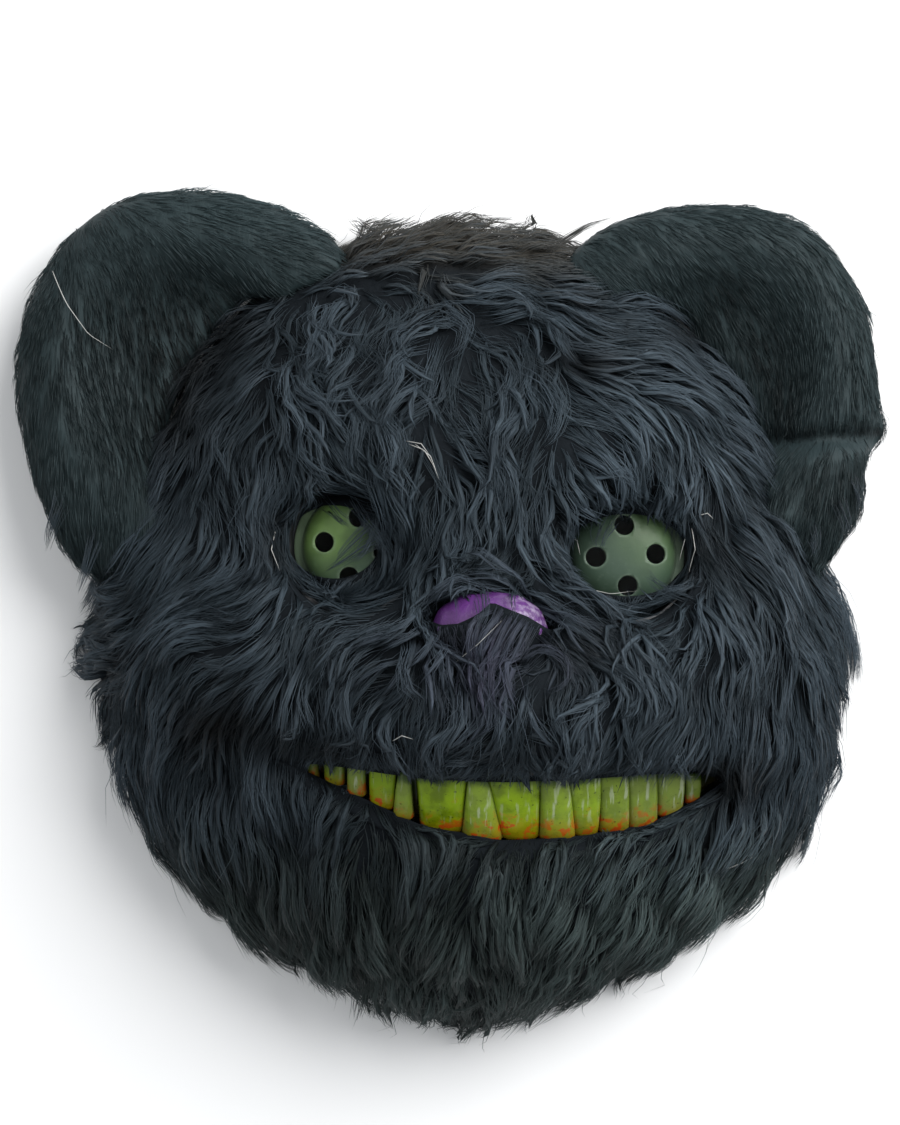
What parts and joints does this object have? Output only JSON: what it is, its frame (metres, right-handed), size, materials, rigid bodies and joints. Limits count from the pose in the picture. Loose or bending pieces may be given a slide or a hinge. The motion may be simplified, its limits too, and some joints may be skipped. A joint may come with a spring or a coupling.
{
  "type": "bear mask",
  "caption": "Long-pile plush bear mask on a thin hollow face shell, with padded ears, see-through eye domes, a nose, a grin of moulded teeth and an elastic strap.",
  "frame": {"origin": "under the middle of the whole mask, on the surface that its back rim rests on", "axes": "+X to the right of the face as one looks at it, +Y towards the crown, +Z out of the face"},
  "size_m": [0.2996, 0.2946, 0.1017],
  "materials": {
    "shell": "moulded, matt",
    "eye_plastic": "translucent, glossy",
    "nose_plastic": "painted, glossy",
    "teeth_plastic": "translucent, glossy, spattered",
    "long_pile": "long wavy pile",
    "ear_pile": "short combed pile",
    "elastic": "woven elastic"
  },
  "bodies": {
    "root": {"face_shell": "shell", "eye_dome_left": "eye_plastic", "eye_dome_right": "eye_plastic", "nose": "nose_plastic", "teeth": "teeth_plastic", "face_fur": "long_pile", "ear_left": "ear_pile", "ear_right": "ear_pile", "head_strap": "elastic"}
  },
  "joints": []
}
